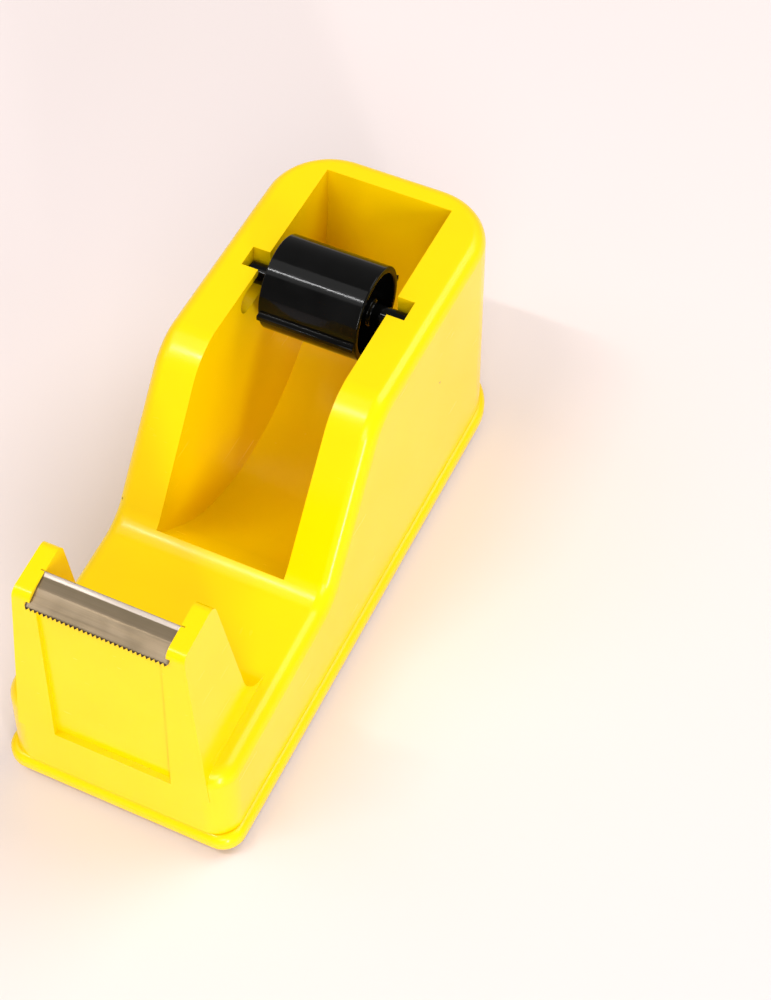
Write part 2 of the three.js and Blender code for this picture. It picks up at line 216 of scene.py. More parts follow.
housing = {
    "rimZ": 66.0,
    "deckFrontZ": 28.0,
    "deckRearZ": 31.0,
    "slopeFoot": 52.5,  # behind the front of the tray
    "hip": 79.5,
    "hipRadius": 14.0,
    "footRadius": 9.0,
    "endInset": 1.0,  # shell's ends in from the tray
    "footHalf": 28.2,  # half width at the tray
    "frontRadius": 6.5,
    "rearRadius": 16.5,
    "frontLean": 4.0,  # the front face leans back this much by the cheeks' tops
    "rimRound": 3.6,
    "rimDip": 3.0,  # the rounded rim is looked for from this far below the deck
    "rimAngle": 60,
    "edgeRound": 0.5,
    "edgeAngle": 28,  # edges sharper than this are softened
    "wall": 2.2,
    "boss": (7.4, 14.0),  # width and height of the posts the screws go into
}
screwHole = {
    "play": 0.15,
    "headShare": 0.35,  # the head's height, as a share of its width
    "shankShare": 0.47,
    "spare": 2.0,  # the hole runs on past the screw's end
}
well = {
    "width": 32.4,
    "radius": 48.0,
    "rearWall": 8.0,
    "floorGap": 2.6,
    "ramp": 42.0,
    "edgeBack": 0.3,
    "steps": 56,
}
slots = {
    "width": 6.0,
    "depth": 4.3,
    "drop": 7.6,
    "run": 9.0,
    "seatRound": 0.98,  # rounds as shares of half the width
    "entryRound": 0.6,
    "nose": 0.8,
}
post = {
    "cheekIn": 31.2,
    "cheekThick": 3.9,
    "rail": 4.5,
    "root": 8.0,  # how far it goes down into the deck
    "cheekDepth": 14.0,
    "footRun": 4.5,
    "footReach": 18.0,
    "sweep": 9.0,
    "sink": 0.1,
    "frontDip": 1.3,  # the cheek's top edge falls this much towards the front
    "frontBack": 0.6,
    "apexRound": 2.2,
    "apexLift": 0.35,  # the round would lower the cheeks' tops by this much
    "wallBack": 0.5,
    "wallLean": 1.0,
    "gapRise": 3.0,  # the open space behind the wall clears the deck by this much at its end
    "fillet": 4.0,
    "recessIn": 1.2,
    "recessDeep": 1.4,
    "recessFootZ": 21.0,
}
blade = {
    "thick": 0.5,
    "frontBack": 4.2,
    "drop": 4.3,  # teeth below the cheeks' tops
    "band": (4.4, 2.1),
    "flat": (3.7, 0.8),
    "lip": (1.0, 0.48),  # the strip turns up again behind the flat
    "groove": 0.8,
    "play": 0.12,
    "endPlay": 0.1,
    "bed": 0.15,  # gap under the strip
    "pitch": 1.0,
    "toothDeep": 0.6,
    "toothBand": (0.9, 0.43),
    "bendRound": 0.14,
    "fit": 0.96,  # share of the thickness that the strip fills
}

shellZ = shellLow.z
postTopZ = shellHigh.z
shellFront = front + housing["endInset"]
shellRear = rear - housing["endInset"]
footY = front + housing["slopeFoot"]
hipY = front + housing["hip"]
high = postTopZ + 8 * past  # above every cut's open side
wellHalf = well["width"] / 2
wellY = rear - well["rearWall"] - well["radius"]
wellZ = shellZ + well["floorGap"] + well["radius"]
cheekHalf = post["cheekIn"] / 2
postLow = housing["deckFrontZ"] - post["root"]
bladeTip = Vector((front + blade["frontBack"], postTopZ - blade["drop"]))
bladeBend = bladeTip + Vector(blade["band"])
bladeRear = bladeBend + Vector(blade["flat"])
postRear = bladeRear.x + post["wallBack"]


def faceY(z):  # the leaning front face
    return shellFront + housing["frontLean"] * (z - shellZ) / (postTopZ - shellZ)


def deckZ(y):
    share = (y - shellFront) / (footY - shellFront)
    return housing["deckFrontZ"] + share * (housing["deckRearZ"] - housing["deckFrontZ"])


def planBlock(inset):
    # the plan, drawn in towards the rear on its way up, so that the front leans and the sides taper
    half = housing["footHalf"] - inset
    y0, y1 = shellFront + inset, shellRear - inset
    bm = prism([(-half, y0), (half, y0), (half, y1), (-half, y1)], "z", shellZ - inset, high)
    for side in (-1, 1):
        roundEdges(bm, edgesAt(bm, 2, side * half, y0), housing["frontRadius"] - inset, segments=10)
        roundEdges(bm, edgesAt(bm, 2, side * half, y1), housing["rearRadius"] - inset, segments=20)
    draw = (shellRear - faceY(high)) / (shellRear - shellFront)
    top = [vert for vert in bm.verts if vert.co.z > high - small]
    pivot = Matrix.Translation((0, -shellRear, 0))
    bmesh.ops.scale(bm, vec=(draw, draw, 1), space=pivot, verts=top)
    return bm


def sideBlock(inset):
    # the side outline through the whole width, hip and foot of the slope rounded
    slope = math.atan2(housing["rimZ"] - housing["deckRearZ"], hipY - footY)
    shift = inset * math.tan(slope / 2)
    below = shellZ - past
    corners = [
        (front - past, below),
        (rear + past, below),
        (rear + past, housing["rimZ"] - inset),
        (hipY + shift, housing["rimZ"] - inset),
        (footY + shift, housing["deckRearZ"] - inset),
        (front - past, deckZ(front - past) - inset),
    ]
    bm = prism(corners, "x", -halfSpan, halfSpan)
    roundEdges(bm, edgesAt(bm, 0, *corners[3]), housing["hipRadius"], segments=10)
    roundEdges(bm, edgesAt(bm, 0, *corners[4]), housing["footRadius"], segments=10)
    return bm


def wellBlock(grow):
    # round floor behind, straight ramp in front, open at the top
    radius = well["radius"] + grow
    ramp = math.radians(well["ramp"])
    leave = -math.pi / 2 - ramp
    touch = Vector((wellY + radius * math.cos(leave), wellZ + radius * math.sin(leave)))
    edge = footY + well["edgeBack"] - grow
    steps = well["steps"]
    arc = [leave * i / steps for i in range(steps + 1)]
    corners = [(wellY + radius, high)]
    corners += [(wellY + radius * math.cos(a), wellZ + radius * math.sin(a)) for a in arc]
    corners += [(edge, touch.y + (touch.x - edge) * math.tan(ramp)), (edge, high)]
    return prism(corners, "x", -wellHalf - grow, wellHalf + grow)


def slotBlock(grow):
    # an entry leg open at the rim, then a run forward to a round seat
    half = slots["width"] / 2 + grow
    floor = housing["rimZ"] - slots["drop"] - grow
    seatY = hub.y - slots["run"]
    corners = [
        (seatY - half, floor),
        (hub.y + half, floor),
        (hub.y + half, high),
        (hub.y - half, high),
        (hub.y - half, floor + 2 * half),
        (seatY - half, floor + 2 * half),
    ]
    reach = wellHalf + slots["depth"] + grow
    bm = prism(corners, "x", -reach, reach)
    seat = edgesAt(bm, 0, *corners[0]) + edgesAt(bm, 0, *corners[5])
    roundEdges(bm, seat, half * slots["seatRound"], segments=6)
    roundEdges(bm, edgesAt(bm, 0, *corners[1]), half * slots["entryRound"], segments=5)
    if not grow:
        roundEdges(bm, edgesAt(bm, 0, *corners[4]), slots["nose"], segments=3)
    return bm


def postBlock():
    # both cheeks and the wall between them, seen from the side
    cheekRear = faceY(postTopZ) + post["cheekDepth"]
    far = cheekRear + post["footReach"]
    foot = cheekRear + post["footRun"]
    corners = [
        (faceY(postLow), postLow),
        (far, postLow),
        (far, deckZ(far) - post["sink"]),
        (foot, deckZ(foot) - post["sink"]),
        (cheekRear, postTopZ + post["apexLift"]),
        (faceY(postTopZ) + post["frontBack"], postTopZ - post["frontDip"]),
    ]
    bm = prism(corners, "x", -halfSpan, halfSpan)
    roundEdges(bm, edgesAt(bm, 0, *corners[3]), post["sweep"], segments=10)
    roundEdges(bm, edgesAt(bm, 0, *corners[4]), post["apexRound"], segments=6)
    roundEdges(bm, edgesAt(bm, 0, *corners[5]), post["apexRound"], segments=6)
    return bm


def postTaper():
    # its front view, narrower at the top
    foot = housing["footHalf"] - post["rail"]
    top = cheekHalf + post["cheekThick"]
    topZ = postTopZ + justPast
    return prism([(-foot, postLow), (foot, postLow), (top, topZ), (-top, topZ)], "y", front, footY)


def postGap():
    # what is open between the cheeks: above the blade's seat and behind the wall
    bed = blade["bed"]
    deck = deckZ(postRear) - post["sink"]
    corners = [
        (front - past, bladeTip.y - bed),
        (bladeTip.x, bladeTip.y - bed),
        (bladeBend.x, bladeBend.y - bed),
        (bladeRear.x, bladeRear.y - bed),
        (postRear, bladeRear.y - bed),
        (postRear + post["wallLean"], deck),
        (footY + 2 * past, deck + post["gapRise"]),
        (footY + 2 * past, high),
        (front - past, high),
    ]
    bm = prism(corners, "x", -cheekHalf, cheekHalf)
    roundEdges(bm, edgesAt(bm, 0, *corners[5]), post["fillet"], segments=6)
    return bm


def recessBlock():
    foot = post["recessFootZ"]
    deep = post["recessDeep"]
    half = cheekHalf - post["recessIn"]
    corners = [(front - past, foot), (faceY(foot) + deep, foot)]
    corners += [(faceY(high) + deep, high), (front - past, high)]
    return prism(corners, "x", -half, half)


def bladeSeat():
    # the grooves in the cheeks that hold the blade's ends
    play, endPlay = blade["play"], blade["endPlay"]
    up = Vector((0, blade["thick"] + play))
    down = Vector((0, -play))
    ahead = Vector((-endPlay, 0))
    reach = cheekHalf + blade["groove"] + endPlay
    side = [bladeTip + down + ahead, bladeBend + down, bladeRear + down + Vector((play, 0))]
    side += [bladeRear + up + Vector((play, blade["lip"][1]))]
    side += [bladeRear + up - Vector((blade["thick"] + endPlay, 0))]
    side += [bladeBend + up, bladeTip + up + ahead]
    return prism([tuple(point) for point in side], "x", -reach, reach)


def upright(x, y, low, top, width):
    bm = bmesh.new()
    middle = Matrix.Translation((x, y, (low + top) / 2))
    bmesh.ops.create_cone(
        bm,
        cap_ends=True,
        segments=40,
        radius1=width / 2,
        radius2=width / 2,
        depth=top - low,
        matrix=middle,
    )
    return bm


def hollowBlock():
    # the space inside the walls, open below, less the casings of well, slots and screws
    wall = housing["wall"]
    width, height = housing["boss"]
    space = toObject(planBlock(wall), "space")
    combine(space, sideBlock(wall), "INTERSECT")
    combine(space, wellBlock(wall), "DIFFERENCE")
    combine(space, slotBlock(wall), "DIFFERENCE")
    for low, top in screws:
        x, y, _ = (low + top) / 2
        combine(space, upright(x, y, shellZ - 2 * wall, shellZ + height, width), "DIFFERENCE")
    return takeMesh(space)


def drillScrews(target, low, wide):
    # shank holes up from a height, or wide ones for the heads
    for corner, top in screws:
        x, y, _ = (corner + top) / 2
        head = top.x - corner.x
        end = corner.z + head * screwHole["headShare"] if wide else top.z + screwHole["spare"]
        width = head if wide else head * screwHole["shankShare"]
        combine(target, upright(x, y, low, end, width + 2 * screwHole["play"]), "DIFFERENCE")


def outerRim(bm):
    # the long outer edge: deck, slope, rim and rear
    lowest = housing["deckFrontZ"] - housing["rimDip"]
    edges = sharpEdges(bm, housing["rimAngle"])
    return [edge for edge in edges if all(v.co.z > lowest for v in edge.verts)]


def makeHousing(material):
    shell = toObject(planBlock(0), "bodyShell")
    combine(shell, sideBlock(0), "INTERSECT")
    bm = openMesh(shell)
    clean(bm)
    softenEdges(bm, outerRim(bm), housing["rimRound"], segments=8, clamp=False)
    closeMesh(bm, shell)
    support = toObject(postBlock(), "postPart")
    combine(support, postTaper(), "INTERSECT")
    combine(support, postGap(), "DIFFERENCE")
    combine(shell, takeMesh(support), "UNION")
    for tool in (wellBlock(0), slotBlock(0), recessBlock(), bladeSeat()):
        combine(shell, tool, "DIFFERENCE")
    bm = openMesh(shell)
    clean(bm)
    softenEdges(bm, sharpEdges(bm, housing["edgeAngle"]), housing["edgeRound"], segments=3)
    closeMesh(bm, shell)
    combine(shell, hollowBlock(), "DIFFERENCE")
    drillScrews(shell, shellZ - justPast, wide=False)
    finishPiece(shell, material, "housing", "body_shell")
    print("housing", len(shell.data.polygons), "faces")


tray = {"frontRadius": 5.5, "rearRadius": 17.0, "edgeRound": 1.9}
pad = {"frontRadius": 2.8, "rearRadius": 13.5, "edgeRound": 0.15}


def plate(low, high, values, name):
    # a flat plate with the housing's plan and rounded edges
    corners = [(low.x, low.y), (high.x, low.y), (high.x, high.y), (low.x, high.y)]
    bm = prism(corners, "z", low.z, high.z)
    for x in (low.x, high.x):
        roundEdges(bm, edgesAt(bm, 2, x, low.y), values["frontRadius"], segments=12)
        roundEdges(bm, edgesAt(bm, 2, x, high.y), values["rearRadius"], segments=24)
    softenEdges(bm, sharpEdges(bm, 60), values["edgeRound"], segments=6)
    return toObject(bm, name)


def makeBase(plastic, rubber):
    base = plate(trayLow, trayHigh, tray, "baseTray")
    for wide in (False, True):
        drillScrews(base, trayLow.z - justPast, wide)
    finishPiece(base, plastic, "housing", "base_tray")
    foot = plate(padLow, padHigh, pad, "antiSlipPad")
    finishPiece(foot, rubber, "housing", "anti_slip_pad")
    print("tray and pad made")


def runsAcross(edge):  # along the blade's width
    return abs(edge.verts[0].co.x - edge.verts[1].co.x) > small


def makeBlade(material):
    # a toothed strip: front band, bend, flat, small raised lip behind
    half = cheekHalf + blade["groove"]
    count = int(2 * half / blade["pitch"])
    lift = Vector((0, blade["thick"]))
    lip = Vector(blade["lip"])
    tip = bladeTip + lift
    lipFoot = bladeRear + lift - Vector(blade["flat"]) * (lip.x / blade["flat"][0])
    profile = [tip, tip + Vector(blade["toothBand"]), bladeBend + lift, lipFoot, lipFoot + lip]
    bm = bmesh.new()
    verts = [bm.verts.new((-half, point.x, point.y)) for point in profile]
    geom = [bm.edges.new(pair) for pair in zip(verts, verts[1:])]
    width = half / count  # two columns to a tooth
    for step in range(2 * count):
        grown = bmesh.ops.extrude_edge_only(bm, edges=geom)["geom"]
        moved = [item for item in grown if isinstance(item, bmesh.types.BMVert)]
        bmesh.ops.translate(bm, vec=(width, 0, 0), verts=moved)
        geom = [item for item in grown if isinstance(item, bmesh.types.BMEdge)]
        geom = [edge for edge in geom if not runsAcross(edge)]
    rise = Vector(blade["band"]).normalized() * blade["toothDeep"]
    for vert in bm.verts:
        column = round((vert.co.x + half) / width)
        if abs(vert.co.y - tip.x) < small and column % 2 == 0:
            vert.co += Vector((0, rise.x, rise.y))
    bmesh.ops.recalc_face_normals(bm, faces=bm.faces)
    strip = toObject(bm, "cutterBlade")
    thick = strip.modifiers.new("thickness", "SOLIDIFY")
    thick.thickness = blade["thick"] * blade["fit"]
    thick.offset = -1
    thick.use_even_offset = True
    applyModifiers(strip)
    bm = openMesh(strip)
    bmesh.ops.recalc_face_normals(bm, faces=bm.faces)
    bends = [edge for edge in sharpEdges(bm, 8) if runsAcross(edge)]
    softenEdges(bm, bends, blade["bendRound"], segments=2)
    closeMesh(bm, strip)
    finishPiece(strip, material, "housing", "cutter_blade")
    print("blade", count, "teeth")


hubSize = {
    "wall": 1.7,
    "web": 6.0,
    "journal": 8.0,
    "play": 0.06,
    "edge": 0.35,
    "ease": 0.3,  # middle point of each rounded rim, as a share of the edge
    "finThick": 1.4,
    "finRound": 0.3,
    "steps": 128,
}
axleSize = {
    "pin": 5.0,
    "collar": 11.0,
    "collarThick": 2.0,
    "shoulderIn": 1.0,
    "touch": 0.3,
    "neckIn": 0.6,
    "edge": 0.3,
    "chamfer": 0.5,
    "ease": 0.15,
    "steps": 64,
}


def turned(right, steps, name):
    # spins a profile of (along, radius) points and its mirror image about the hub's axis
    left = [(-along, radius) for along, radius in reversed(right)]
    bm = bmesh.new()
    verts = [bm.verts.new((along, 0, radius)) for along, radius in right + left]
    ring = [bm.edges.new(pair) for pair in zip(verts, verts[1:] + verts[:1])]
    bmesh.ops.spin(
        bm,
        geom=verts + ring,
        cent=(0, 0, 0),
        axis=(1, 0, 0),
        angle=math.tau,
        steps=steps,
        use_merge=True,
    )
    bmesh.ops.remove_doubles(bm, verts=bm.verts, dist=small / 10)
    bmesh.ops.recalc_face_normals(bm, faces=bm.faces)
    bmesh.ops.translate(bm, vec=hub, verts=bm.verts)
    return toObject(bm, name)


def makeBarrel(material):
    half = barrelHigh.x
    outer = (barrelHigh.z - barrelLow.z) / 2
    finOut = barrelHigh.y - hub.y
    inner = outer - hubSize["wall"]
    web = hubSize["web"] / 2
    bore = hubSize["journal"] / 2 + hubSize["play"]
    edge = hubSize["edge"]
    ease = edge * hubSize["ease"]
    right = [(web, bore), (web, inner)]
    right += [(half - edge, inner), (half - ease, inner + ease), (half, inner + edge)]
    right += [(half, outer - edge), (half - ease, outer - ease), (half - edge, outer)]
    barrel = turned(right, hubSize["steps"], "hubBarrel")
    for side in (-1, 1):
        near, far = hub.y + side * (outer - hubSize["wall"] / 2), hub.y + side * finOut
        y0, y1 = min(near, far), max(near, far)
        z0, z1 = hub.z - hubSize["finThick"] / 2, hub.z + hubSize["finThick"] / 2
        fin = prism([(y0, z0), (y1, z0), (y1, z1), (y0, z1)], "x", edge - half, half - edge)
        tip = edgesAt(fin, 0, far, z0) + edgesAt(fin, 0, far, z1)
        roundEdges(fin, tip, hubSize["finRound"], segments=4)
        combine(barrel, fin, "UNION")
    finishPiece(barrel, material, "hub_barrel", "hub_barrel")


def makeAxle(material):
    edge, chamfer, ease = axleSize["edge"], axleSize["chamfer"], axleSize["ease"]
    journal = hubSize["web"] / 2 + axleSize["touch"]
    collar = journal + axleSize["collarThick"]
    shoulder = barrelHigh.x - axleSize["shoulderIn"]
    end = axleHigh.x
    pinR, collarR, journalR = axleSize["pin"] / 2, axleSize["collar"] / 2, hubSize["journal"] / 2
    neck = journalR - axleSize["neckIn"]
    right = [(end, 0), (end, pinR - chamfer), (end - ease, pinR - ease), (end - chamfer, pinR)]
    right += [(shoulder + chamfer, pinR), (shoulder, pinR + chamfer)]
    right += [(shoulder, neck - edge), (shoulder - edge, neck), (collar, neck)]
    right += [(collar, collarR - edge), (collar - edge, collarR)]
    right += [(journal, collarR), (journal, journalR)]
    axle = turned(right, axleSize["steps"], "hubAxle")
    finishPiece(axle, material, "hub_axle", "hub_axle")


def addNode(tree, kind, **values):
    node = tree.nodes.new(kind)
    for name, value in values.items():
        if name in node.inputs:
            node.inputs[name].default_value = value
        else:
            setattr(node, name, value)
    return node


def feed(tree, socket, value):  # a link or a constant
    if isinstance(value, bpy.types.NodeSocket):
        tree.links.new(value, socket)
    else:
        socket.default_value = value


def mixMath(tree, operation, a, b):
    node = addNode(tree, "ShaderNodeMath", operation=operation)
    feed(tree, node.inputs[0], a)
    feed(tree, node.inputs[1], b)
    return node.outputs[0]


def mixColour(tree, factor, a, b):
    node = addNode(tree, "ShaderNodeMix", data_type="RGBA")
    for socket, value in zip((node.inputs[0], node.inputs[6], node.inputs[7]), (factor, a, b)):
        feed(tree, socket, value)
    return node.outputs[2]


def rangeOf(tree, value, low, high, fromLow=0.0, fromHigh=1.0):
    node = addNode(tree, "ShaderNodeMapRange")
    labels = ("Value", "From Min", "From Max", "To Min", "To Max")
    for label, number in zip(labels, (value, fromLow, fromHigh, low, high)):
        feed(tree, node.inputs[label], number)
    return node.outputs[0]


def newGroup(name, inputs, outputs):
    # a node group; inputs are (label, kind, first value)
    tree = bpy.data.node_groups.new(name, "ShaderNodeTree")
    for label, kind, value in inputs:
        socket = tree.interface.new_socket(name=label, in_out="INPUT", socket_type=kind)
        if value is not None:
            socket.default_value = value
    for label in outputs:
        tree.interface.new_socket(name=label, in_out="OUTPUT", socket_type="NodeSocketFloat")
    return tree, tree.nodes.new("NodeGroupInput"), tree.nodes.new("NodeGroupOutput")


def mouldedGroup():
    # orange peel and slow waviness of a moulded surface
    inputs = [
        ("Vector", "NodeSocketVector", None),
        ("Peel", "NodeSocketFloat", 900.0),
        ("Wave", "NodeSocketFloat", 70.0),
    ]
    tree, into, out = newGroup("mouldedSurface", inputs, ["Height", "Tone"])
    peel = addNode(tree, "ShaderNodeTexNoise", Detail=3.0, Roughness=0.55)
    wave = addNode(tree, "ShaderNodeTexNoise", Detail=2.0, Roughness=0.5)
    for node, label in ((peel, "Peel"), (wave, "Wave")):
        tree.links.new(into.outputs["Vector"], node.inputs["Vector"])
        tree.links.new(into.outputs[label], node.inputs["Scale"])
    height = mixMath(tree, "ADD", mixMath(tree, "MULTIPLY", peel.outputs[0], 0.25), wave.outputs[0])
    tree.links.new(height, out.inputs["Height"])
    tree.links.new(wave.outputs[0], out.inputs["Tone"])
    return tree


def speckGroup():
    # a few dust specks, kept in only some of the cells
    inputs = [
        ("Vector", "NodeSocketVector", None),
        ("Cells", "NodeSocketFloat", 160.0),
        ("Size", "NodeSocketFloat", 0.05),
        ("Share", "NodeSocketFloat", 0.06),
    ]
    tree, into, out = newGroup("dustSpecks", inputs, ["Mask"])
    cells = addNode(tree, "ShaderNodeTexVoronoi")
    tree.links.new(into.outputs["Vector"], cells.inputs["Vector"])
    tree.links.new(into.outputs["Cells"], cells.inputs["Scale"])
    near = mixMath(tree, "LESS_THAN", cells.outputs["Distance"], into.outputs["Size"])
    split = addNode(tree, "ShaderNodeSeparateColor")
    tree.links.new(cells.outputs["Color"], split.inputs[0])
    kept = mixMath(tree, "LESS_THAN", split.outputs[0], into.outputs["Share"])
    tree.links.new(mixMath(tree, "MULTIPLY", near, kept), out.inputs["Mask"])
    return tree


def hairlineGroup():
    # hairline rubs, long one way and thin the other
    inputs = [
        ("Vector", "NodeSocketVector", None),
        ("Stretch", "NodeSocketVector", (30.0, 1800.0, 1800.0)),
        ("Cut", "NodeSocketFloat", 0.66),
    ]
    tree, into, out = newGroup("hairlines", inputs, ["Mask", "Streak"])
    scaled = addNode(tree, "ShaderNodeVectorMath", operation="MULTIPLY")
    tree.links.new(into.outputs["Vector"], scaled.inputs[0])
    tree.links.new(into.outputs["Stretch"], scaled.inputs[1])
    lines = addNode(tree, "ShaderNodeTexNoise", Scale=1.0, Detail=2.0, Roughness=0.6)
    tree.links.new(scaled.outputs[0], lines.inputs["Vector"])
    cut = into.outputs["Cut"]
    mask = rangeOf(tree, lines.outputs[0], 0.0, 1.0, cut, mixMath(tree, "ADD", cut, 0.08))
    tree.links.new(mask, out.inputs["Mask"])
    tree.links.new(lines.outputs[0], out.inputs["Streak"])
    return tree


groups = {"moulded": mouldedGroup(), "specks": speckGroup(), "hairlines": hairlineGroup()}


def startMaterial(name, metallic=0.0, specular=0.5):
    material = bpy.data.materials.new(name)
    material.use_nodes = True
    tree = material.node_tree
    shader = tree.nodes["Principled BSDF"]
    shader.inputs["Metallic"].default_value = metallic
    shader.inputs["Specular IOR Level"].default_value = specular
    coords = tree.nodes.new("ShaderNodeTexCoord")
    return material, tree, shader, coords.outputs["Object"]


def useGroup(tree, which, vector, **values):
    node = tree.nodes.new("ShaderNodeGroup")
    node.node_tree = groups[which]
    tree.links.new(vector, node.inputs["Vector"])
    for label, value in values.items():
        node.inputs[label].default_value = value
    return node


def addBump(tree, shader, height, strength, distance):
    bump = addNode(tree, "ShaderNodeBump", Strength=strength, Distance=distance)
    tree.links.new(height, bump.inputs["Height"])
    tree.links.new(bump.outputs[0], shader.inputs["Normal"])


yellowLook = {
    "colour": (0.95, 0.655, 0.0, 1),
    "deep": (0.94, 0.625, 0.0, 1),
    "toneRange": (0.3, 0.75),
    "dust": (0.22, 0.13, 0.02, 1),
    "dustRough": 0.8,
    "specular": 0.25,
    "rough": (0.16, 0.27),
    "grain": {"Peel": 1100.0, "Wave": 60.0},
    "specks": {"Cells": 110.0, "Size": 0.035, "Share": 0.07},
    "rubs": {"Stretch": (220.0, 40.0, 1500.0), "Cut": 0.69},
    "rubRough": 0.12,
    "bump": (0.12, 0.0004),
}
blackLook = {
    "colour": (0.001, 0.001, 0.001, 1),
    "deep": (0.003, 0.003, 0.003, 1),
    "toneRange": (0.3, 0.7),
    "dust": (0.12, 0.11, 0.10, 1),
    "specular": 0.14,
    "rough": (0.07, 0.12),
    "grain": {"Peel": 1300.0, "Wave": 110.0},
    "specks": {"Cells": 260.0, "Size": 0.05, "Share": 0.05},
    "rubs": {"Stretch": (60.0, 1400.0, 1400.0), "Cut": 0.66},
    "rubRough": 0.15,
    "bump": (0.08, 0.0003),
}


def glossyPlastic(name, look):
    # moulded gloss with a slow drift of tone, fine rubs and a few specks of dust
    material, tree, shader, where = startMaterial(name, specular=look["specular"])
    grain = useGroup(tree, "moulded", where, **look["grain"])
    dust = useGroup(tree, "specks", where, **look["specks"]).outputs["Mask"]
    rubs = useGroup(tree, "hairlines", where, **look["rubs"]).outputs["Mask"]
    tone = rangeOf(tree, grain.outputs["Tone"], 0.0, 1.0, *look["toneRange"])
    colour = mixColour(tree, tone, look["colour"], look["deep"])
    tree.links.new(mixColour(tree, dust, colour, look["dust"]), shader.inputs["Base Color"])
    rough = rangeOf(tree, grain.outputs["Tone"], *look["rough"], 0.3, 0.7)
    rough = mixMath(tree, "ADD", rough, mixMath(tree, "MULTIPLY", rubs, look["rubRough"]))
    if "dustRough" in look:
        rough = mixMath(tree, "MAXIMUM", rough, mixMath(tree, "MULTIPLY", dust, look["dustRough"]))
    tree.links.new(rough, shader.inputs["Roughness"])
    addBump(tree, shader, grain.outputs["Height"], *look["bump"])
    return material


steelLook = {
    "brushed": ((0.22, 0.165, 0.105, 1), (0.30, 0.235, 0.16, 1)),
    "stain": (0.13, 0.095, 0.055, 1),
    "blotch": (0.13, 0.10, 0.06, 1),
    # the flat's colour is painted shade: the same steel as the band, made darker
    "flat": (0.14, 0.11, 0.07, 1),
    # the lip's colour is a painted highlight: a bright strip on the same steel
    "lip": (0.42, 0.36, 0.31, 1),
    "teeth": (0.06, 0.04, 0.025, 1),
    "streaks": (60.0, 3400.0, 3400.0),
    "stains": (25.0, 700.0, 700.0),
    "grain": {"Peel": 260.0, "Wave": 120.0},
    "rough": (0.36, 0.50),
    "blotchRough": 0.1,
    "bump": (0.15, 0.00005),
}


def bladeSteel():
    # brushed strip: flat painted darker as painted shade, lip behind painted brighter as a painted
    # highlight, darkened teeth
    material, tree, shader, where = startMaterial("bladeSteel", metallic=1.0)
    split = addNode(tree, "ShaderNodeSeparateXYZ")
    tree.links.new(where, split.inputs[0])
    depth = split.outputs["Y"]
    lipY, bendY = (bladeRear.x - blade["lip"][0]) * mm, bladeBend.x * mm
    toothY = (bladeTip.x + blade["toothDeep"]) * mm
    streak = useGroup(tree, "hairlines", where, Stretch=steelLook["streaks"]).outputs["Streak"]
    stain = useGroup(tree, "hairlines", where, Stretch=steelLook["stains"]).outputs["Streak"]
    blotch = useGroup(tree, "moulded", where, **steelLook["grain"]).outputs["Tone"]
    colour = mixColour(tree, rangeOf(tree, streak, 0.0, 1.0, 0.3, 0.7), *steelLook["brushed"])
    layers = [
        (rangeOf(tree, stain, 0.0, 0.45, 0.4, 0.7), "stain"),
        (rangeOf(tree, blotch, 0.0, 0.5, 0.4, 0.7), "blotch"),
        # painted shade: the upward-facing flat is coloured darker than the band
        (rangeOf(tree, depth, 0.0, 0.6, bendY, bendY + 0.6 * mm), "flat"),
        # painted highlight: a bright strip of colour along the raised lip
        (rangeOf(tree, depth, 0.0, 1.0, lipY - 0.1 * mm, lipY + 0.1 * mm), "lip"),
        (rangeOf(tree, depth, 1.0, 0.0, toothY - 0.2 * mm, toothY), "teeth"),
    ]
    for mask, layer in layers:
        colour = mixColour(tree, mask, colour, steelLook[layer])
    tree.links.new(colour, shader.inputs["Base Color"])
    rough = rangeOf(tree, streak, *steelLook["rough"], 0.3, 0.7)
    rough = mixMath(tree, "ADD", rough, mixMath(tree, "MULTIPLY", blotch, steelLook["blotchRough"]))
    tree.links.new(rough, shader.inputs["Roughness"])
    addBump(tree, shader, streak, *steelLook["bump"])
    return material


rubberLook = {
    "metallic": 0.0,
    "colours": ((0.018, 0.018, 0.019, 1), (0.05, 0.05, 0.05, 1)),
    "grain": {"Peel": 1600.0, "Wave": 420.0},
    "specks": {"Cells": 500.0, "Size": 0.16, "Share": 0.12},
    "speckColour": (0.16, 0.155, 0.15, 1),
    "rough": (0.75, 0.95),
    "bump": (0.6, 0.0005),
}
ironLook = {
    "metallic": 0.7,
    "colours": ((0.07, 0.065, 0.06, 1), (0.20, 0.17, 0.14, 1)),
    "grain": {"Peel": 900.0, "Wave": 240.0},
    "rough": (0.6, 0.85),
    "bump": (0.7, 0.0008),
}
zincLook = {
    "metallic": 1.0,
    "colours": ((0.50, 0.51, 0.52, 1), (0.74, 0.72, 0.66, 1)),
    "grain": {"Peel": 1500.0, "Wave": 300.0},
    "rough": (0.25, 0.45),
    "bump": (0.2, 0.0002),
}
floorLook = {
    "metallic": 0.0,
    "colours": ((0.80, 0.705, 0.685, 1), (0.79, 0.70, 0.70, 1)),
    "grain": {"Peel": 90.0, "Wave": 9.0},
    "rough": (0.55, 0.7),
}


def grainyFinish(name, look):
    # colour and roughness drift together with the grain
    material, tree, shader, where = startMaterial(name, metallic=look["metallic"])
    grain = useGroup(tree, "moulded", where, **look["grain"])
    colour = mixColour(tree, grain.outputs["Tone"], *look["colours"])
    if "specks" in look:
        specks = useGroup(tree, "specks", where, **look["specks"])
        colour = mixColour(tree, specks.outputs["Mask"], colour, look["speckColour"])
    tree.links.new(colour, shader.inputs["Base Color"])
    tree.links.new(rangeOf(tree, grain.outputs["Tone"], *look["rough"]), shader.inputs["Roughness"])
    if "bump" in look:
        addBump(tree, shader, grain.outputs["Height"], *look["bump"])
    return material


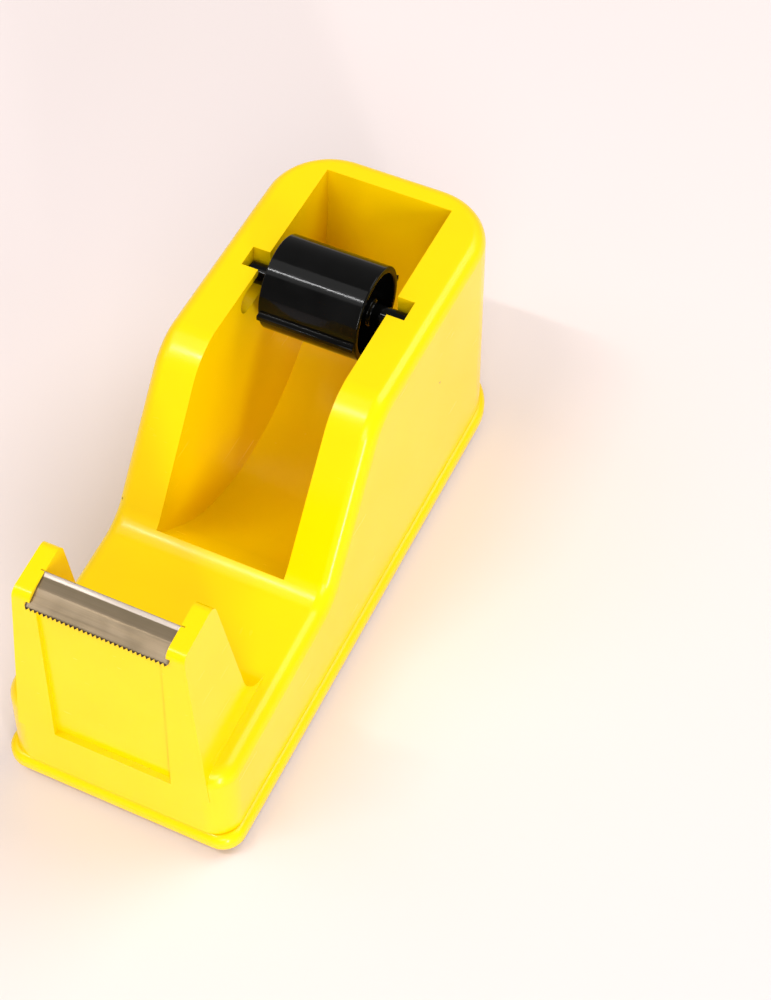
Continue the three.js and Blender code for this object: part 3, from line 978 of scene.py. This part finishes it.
warmWhite, white = (1.0, 0.99, 0.98), (1.0, 1.0, 1.0)
stageLook = {
    "floorHalf": 6.0,
    "world": (1.0, 0.98, 0.96, 1),
    "worldStrength": 0.38,
    "lights": [  # name, place, aim, width and height, power, colour
        ("key", (0.95, -1.80, 1.60), (0.0, 0.0, 0.03), (1.0, 1.0), 20.0, warmWhite),
        ("top", (0.70, 0.85, 1.45), (0.0, 0.15, 0.0), (1.1, 1.1), 16.0, warmWhite),
        ("fill", (-1.30, -0.50, 2.00), (0.0, 0.05, 0.03), (1.6, 1.6), 12.5, warmWhite),
        ("window", (1.25, -1.40, 0.42), (0.0, 0.0, 0.05), (0.10, 0.80), 18.0, warmWhite),
        ("strip", (-0.47, -0.52, 1.40), (0.0, 0.0, 0.05), (0.55, 0.035), 5.0, white),
    ],
    "camera": (0.1466, -0.2476, 0.4059),
    "tilt": 36.98,
    "turn": 25.09,
    "lens": 73.3,
}


def addLight(name, place, aim, size, power, colour):
    lamp = bpy.data.lights.new(name, "AREA")
    lamp.shape = "RECTANGLE"
    lamp.size, lamp.size_y = size
    lamp.energy = power
    lamp.color = colour
    stand = bpy.data.objects.new(name, lamp)
    back = (Vector(place) - Vector(aim)).normalized()
    side = (Vector((1, 0, 0)) - back * back.x).normalized()  # the light's width lies along X
    turn = Matrix((side, back.cross(side), back)).transposed()
    stand.matrix_world = Matrix.Translation(place) @ turn.to_4x4()
    bpy.context.scene.collection.objects.link(stand)


def makeStage():
    bm = bmesh.new()
    bmesh.ops.create_grid(bm, x_segments=1, y_segments=1, size=stageLook["floorHalf"])
    floor = toObject(bm, "floor")
    floor.data.materials.append(grainyFinish("paleFloor", floorLook))
    floor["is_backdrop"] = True
    world = bpy.data.worlds.new("softRoom")
    world.use_nodes = True
    sky = world.node_tree.nodes["Background"]
    sky.inputs["Color"].default_value = stageLook["world"]
    sky.inputs["Strength"].default_value = stageLook["worldStrength"]
    bpy.context.scene.world = world
    for light in stageLook["lights"]:
        addLight(*light)
    view = bpy.data.cameras.new("camera")
    view.lens = stageLook["lens"]
    view.clip_start = 0.01
    camera = bpy.data.objects.new("camera", view)
    camera.location = stageLook["camera"]
    camera.rotation_euler = (math.radians(stageLook["tilt"]), 0, math.radians(stageLook["turn"]))
    bpy.context.scene.collection.objects.link(camera)
    bpy.context.scene.camera = camera
    bpy.context.scene.view_settings.view_transform = "Standard"
    print("stage set")


makeStage()
yellow = glossyPlastic("yellowPlastic", yellowLook)
black = glossyPlastic("blackPlastic", blackLook)
makeHousing(yellow)
makeBase(yellow, grainyFinish("padRubber", rubberLook))
makeBlade(bladeSteel())
makeBarrel(black)
makeAxle(black)
print("hub made")
hidden = {
    "ballast": grainyFinish("castIron", ironLook),
    "base_screw": grainyFinish("zincPlate", zincLook),
}
for name, node in frame["nodes"].items():  # hidden pieces keep their own solids
    for start, material in hidden.items():
        if name.startswith(start):
            node.data.materials.clear()
            node.data.materials.append(material)
print("materials given")

low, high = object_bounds()
